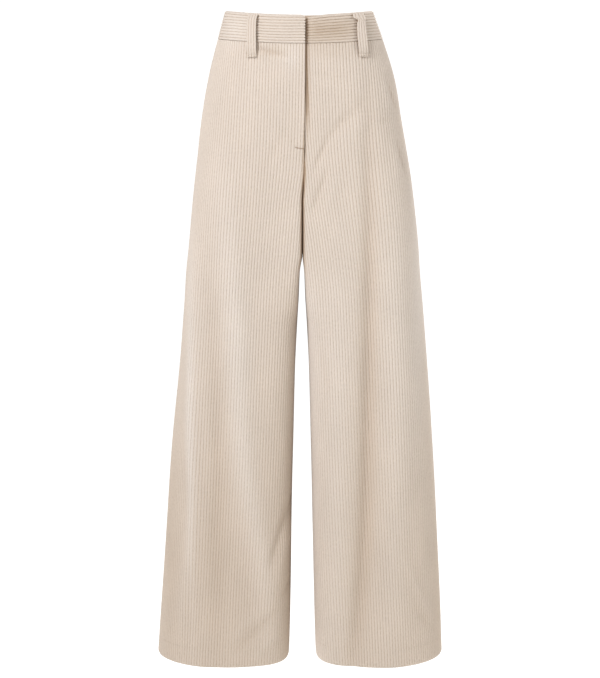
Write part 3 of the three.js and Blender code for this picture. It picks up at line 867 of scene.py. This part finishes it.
# The share of the length, how far the strip stands off there, as a share of the belt's room, and how
# the slipped loop moves sideways, is widened and turns, in degrees, at the same place.
LOOP_SHAPE = np.array([
    (0.0, 0.1, -3.6, 1.25, 4),
    (0.05, 0.5, -3.8, 1.32, 10),
    (0.1, 0.9, -4.2, 1.32, 16),
    (0.118, 1.0, -3.4, 1.2, 18),
    (0.14, 1.0, -1.7, 0.92, 18),
    (0.22, 1.0, -3.0, 0.9, 18),
    (0.4, 1.0, -4.4, 0.98, 18),
    (0.66, 1.0, -4.3, 1.02, 14),
    (0.82, 0.8, -3.7, 1.03, 8),
    (0.93, 0.2, -3.1, 1.03, 3),
    (1.0, 0.0, -3.1, 1.03, 0),
])
# Name, side, face, share of the way out to the side, lean of the top, and whether it has slipped.
LOOPS = [
    ("belt_loop_front_right", "right", "front", 0.556, 7.8, 0),
    ("belt_loop_front_left", "left", "front", 0.72, 8.9, 1),
    ("belt_loop_back_right", "right", "back", 0.62, 0, 0),
    ("belt_loop_back_left", "left", "back", 0.62, 0, 0),
    ("belt_loop_back_middle", "left", "back", 0.0, 0, 0),
]

for name, side, face, share, lean, slipped in LOOPS:
    outside, inside = [], []
    length = BAND_HEIGHT + LOOP_BELOW
    across_places, heights = wale_columns(-LOOP_WIDTH / 2, LOOP_WIDTH / 2)
    across_places[0], across_places[-1] = -LOOP_WIDTH / 2, LOOP_WIDTH / 2
    heights[0] = heights[-1] = LOOP_EDGE
    for run in np.linspace(0, 1, 56):
        off, slip, widened, turn = (curve_through(LOOP_SHAPE, k, run) for k in range(1, 5))
        down = LOOP_TOP + run * length
        outline = Outline(side, face, down)
        foot = np.interp(-share * outline.outer, -outline.x, outline.lengths)
        seat = (BAND_PROUD if down < BAND_HEIGHT else 0) + LOOP_SEAT[face]
        rise = seat + LOOP_OFF * off
        middle = outline.at(np.array([foot]), np.array([rise]))[0]
        beside = outline.at(np.array([foot - 1]), np.array([rise]))[0]
        across = beside - middle
        across[2] = 0
        across = across / np.linalg.norm(across)
        outwards = np.array([across[1], -across[0], 0])
        if outwards @ (middle * (1, 1, 0)) < 0:
            outwards = -outwards
        angle = math.radians(turn * slipped)
        turned = math.cos(angle) * across + math.sin(angle) * outwards
        width = 1 + (widened - 1) * slipped
        shift = lean * (1 - smoothstep(run, 0, 1)) + slip * slipped
        centre = middle + across * shift * MM
        places = across_places[:, None] * width * MM
        bow = (1 - (2 * across_places / LOOP_WIDTH) ** 2) * LOOP_BOW
        # The foot is turned under and pressed, which shows as a shallow groove above its end.
        bow = bow - FOOT_GROOVE * math.exp(-(((1 - run) * length - FOOT_FOLD) / 1.3) ** 2)
        thickness = LOOP_WALL - FOOT_PRESSED * smoothstep(run, 0.94, 1)
        lift = (thickness - LOOP_WALE_HEIGHT * (1 - heights) + bow)[:, None] * MM
        points = centre + places * turned + lift * outwards
        place = np.stack([across_places, np.full_like(across_places, run * length)], axis=-1) * MM
        outside.append((points, place, heights, np.zeros_like(heights)))
        back = centre + places * turned
        back[0], back[-1] = points[0], points[-1]
        inside.append((back, place, np.full_like(heights, 0.5), np.zeros_like(heights)))
    loop = cloth_mesh(f"{name}_strip", outside + inside[::-1] + [outside[0]], len(outside))
    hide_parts(name)
    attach(loop, "root")


# Stitching. Cotton thread a shade darker than the pile: a line of stitches above each hem, a close bar
# tack across each loop's foot, and a darker one at the fly's foot.
def sewing_thread(name, shaded, lit):
    """Twisted cotton thread with a faint gloss, its plies 0.5 mm apart."""
    material = bpy.data.materials.new(name)
    material.use_nodes = True
    shader = material.node_tree.nodes["Principled BSDF"]
    place = add_node(material, "ShaderNodeTexCoord")
    twist = add_node(
        material, "ShaderNodeTexNoise", {"Scale": 1 / 0.0005}, {"Vector": place.outputs["Object"]}
    )
    tone = add_node(material, "ShaderNodeValToRGB", None, {"Fac": twist.outputs["Fac"]})
    tone.color_ramp.elements[0].color = linear(shaded)
    tone.color_ramp.elements[1].color = linear(lit)
    material.node_tree.links.new(tone.outputs["Color"], shader.inputs["Base Color"])
    shader.inputs["Roughness"].default_value = 0.7
    return material


thread = sewing_thread("twisted_cotton_thread", "#c4b3a1", "#d3c4b3")
tack_thread = sewing_thread("close_stitched_thread", "#94795f", "#b09579")


def sew(name, stitches, thickness, spool):
    """One mesh of separate stitches, each a short rod from one point to another."""
    bm = bmesh.new()
    for start, end in stitches:
        span = Vector(end) - Vector(start)
        turn = span.to_track_quat("Z", "Y").to_matrix().to_4x4()
        place = Matrix.Translation((Vector(start) + Vector(end)) / 2) @ turn
        bmesh.ops.create_cone(
            bm,
            cap_ends=True,
            segments=6,
            radius1=thickness / 2 * MM,
            radius2=thickness / 2 * MM,
            depth=span.length,
            matrix=place,
        )
    for face in bm.faces:
        face.smooth = len(face.verts) == 4
    mesh = bpy.data.meshes.new(name)
    bm.to_mesh(mesh)
    bm.free()
    mesh.materials.append(spool)
    piece = bpy.data.objects.new(name, mesh)
    bpy.context.scene.collection.objects.link(piece)
    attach(piece, "root")
    return piece


STITCH_STEP = 4.8
STITCH_LENGTH = 3.4
STITCH_SUNK = 0.3  # how deep a hem stitch lies in the pile
HEM_THREAD = 0.6
TACK_THREAD = 0.7
FLY_THREAD = 0.8
TACK_UP = 3  # above the end of a loop's foot
TACK_STITCHES = 14
FLY_STITCHES = 15
# A tack's stitches stand close together, each with a slight lean.
TACK_LEAN = 0.6
TACK_HALF_HEIGHT = 1.0
FLY_HALF_HEIGHT = 0.5

for side in ("right", "left"):
    down = OUTSEAM - HEM_DEPTH
    stitches = []
    for face in ("front", "back"):
        outline = Outline(side, face, down)
        for u in np.arange(outline.start + 3, outline.end - 3, STITCH_STEP):
            ends = np.array([u, u + STITCH_LENGTH])
            soft = fold_rise(outline, outline.x_at(ends)) + 0.5 * drift(ends, down)
            stitches.append(outline.at(ends, soft - STITCH_SUNK))
    sew(f"hem_stitches_{side}", stitches, HEM_THREAD, thread)

for name, side, face, share, lean, slipped in LOOPS:
    down = LOOP_TOP + BAND_HEIGHT + LOOP_BELOW - TACK_UP
    outline = Outline(side, face, down)
    foot = np.interp(-share * outline.outer, -outline.x, outline.lengths) - slipped
    stitches = []
    for k in range(TACK_STITCHES):
        u = foot - LOOP_WIDTH / 2 + (k + 0.5) * LOOP_WIDTH / TACK_STITCHES
        ends = np.array([u, u + TACK_LEAN])
        points = outline.at(ends, np.full(2, LOOP_SEAT[face] + LOOP_WALL + 0.2))
        points[0][2] += TACK_HALF_HEIGHT * MM
        points[1][2] -= TACK_HALF_HEIGHT * MM
        stitches.append(points)
    sew(f"bar_tack_{name}", stitches, TACK_THREAD, thread)

stitches = []
for k in range(FLY_STITCHES):
    # The tack curves up towards its outer end.
    outline = Outline("right", "front", FLY_DOWN + 0.6 - 2.6 * (1 - k / (FLY_STITCHES - 1)) ** 2)
    u = outline.end - FLY_STITCHES + k
    ends = np.array([u, u + TACK_LEAN])
    points = outline.at(ends, np.full(2, LAP_PROUD + 0.3))
    points[0][2] += FLY_HALF_HEIGHT * MM
    points[1][2] -= FLY_HALF_HEIGHT * MM
    stitches.append(points)
sew("bar_tack_fly", stitches, FLY_THREAD, tack_thread)


# Studio. A pale paper floor that sweeps up behind, a large soft light from the front left, weaker ones
# from the right and behind, and a camera level with the waist that looks down slightly.
def plain_backdrop(name, paper, glow, strength):
    """Matt paper that glows a little, so that it stays white and shadowless."""
    material = bpy.data.materials.new(name)
    material.use_nodes = True
    shader = material.node_tree.nodes["Principled BSDF"]
    shader.inputs["Base Color"].default_value = linear(paper)
    shader.inputs["Roughness"].default_value = 1.0
    shader.inputs["Specular IOR Level"].default_value = 0.0
    shader.inputs["Emission Color"].default_value = linear(glow)
    shader.inputs["Emission Strength"].default_value = strength
    return material


def soft_light(name, place, aim, size, spread, power, colour):
    """A round soft box, its beam the given number of degrees wide."""
    light = bpy.data.lights.new(name, "AREA")
    light.shape = "DISK"
    light.size = size
    light.spread = math.radians(spread)
    light.energy = power
    light.color = linear(colour)[:3]
    lamp = bpy.data.objects.new(name, light)
    lamp.location = place
    lamp.rotation_euler = (Vector(aim) - Vector(place)).to_track_quat("-Z", "Y").to_euler()
    bpy.context.scene.collection.objects.link(lamp)
    return lamp


FLOOR_HEIGHT = -1.3
SWEEP_RADIUS = 2.5
bm = bmesh.new()
bmesh.ops.create_grid(bm, x_segments=1, y_segments=1, size=6)
bmesh.ops.translate(bm, verts=bm.verts, vec=(0, 0, FLOOR_HEIGHT))
far_edge = [e for e in bm.edges if all(v.co.y > 5 for v in e.verts)]
raised = bmesh.ops.extrude_edge_only(bm, edges=far_edge)
bmesh.ops.translate(
    bm, verts=[v for v in raised["geom"] if isinstance(v, bmesh.types.BMVert)], vec=(0, 0, 7)
)
corner = [e for e in bm.edges if len(e.link_faces) == 2]
bmesh.ops.bevel(
    bm, geom=corner, offset=SWEEP_RADIUS, segments=24, profile=0.5, affect="EDGES", material=-1
)
bmesh.ops.recalc_face_normals(bm, faces=bm.faces)
mesh = bpy.data.meshes.new("studio_floor")
bm.to_mesh(mesh)
bm.free()
mesh.shade_smooth()
mesh.materials.append(plain_backdrop("matt_white_paper", "#bcbcbb", "#fbfbfa", 0.81))
floor = bpy.data.objects.new("studio_floor", mesh)
bpy.context.scene.collection.objects.link(floor)

# Each light's name, place, aim, width, beam, power and colour.
LIGHTS = [
    ("key_light", (-1.7, -2.4, 1.9), (0, 0, -0.05), 1.6, 90, 28.5, "#fafbff"),
    ("fill_light", (3.0, -1.0, 0.7), (0, 0, -0.15), 2.4, 110, 14, "#ffffff"),
    ("back_light", (1.7, 2.6, 1.9), (0, 0, -0.3), 1.6, 90, 15, "#fafbff"),
]
for light in LIGHTS:
    soft_light(*light)

ROOM_LIGHT = 0.35
world = bpy.data.worlds.new("white_room")
world.use_nodes = True
world.node_tree.nodes["Background"].inputs["Color"].default_value = (1, 1, 1, 1)
world.node_tree.nodes["Background"].inputs["Strength"].default_value = ROOM_LIGHT
bpy.context.scene.world = world
bpy.context.scene.view_settings.view_transform = "Standard"

CAMERA_PLACE = (-0.0034, -4.0, -0.060)
AIM_HEIGHT = -0.556
lens = bpy.data.cameras.new("camera")
lens.lens = 125.0
lens.sensor_width = 36.0
camera = bpy.data.objects.new("camera", lens)
camera.location = CAMERA_PLACE
tilt = math.atan2(CAMERA_PLACE[2] - AIM_HEIGHT, -CAMERA_PLACE[1])
camera.rotation_euler = (math.pi / 2 - tilt, 0, 0)
bpy.context.scene.collection.objects.link(camera)
bpy.context.scene.camera = camera
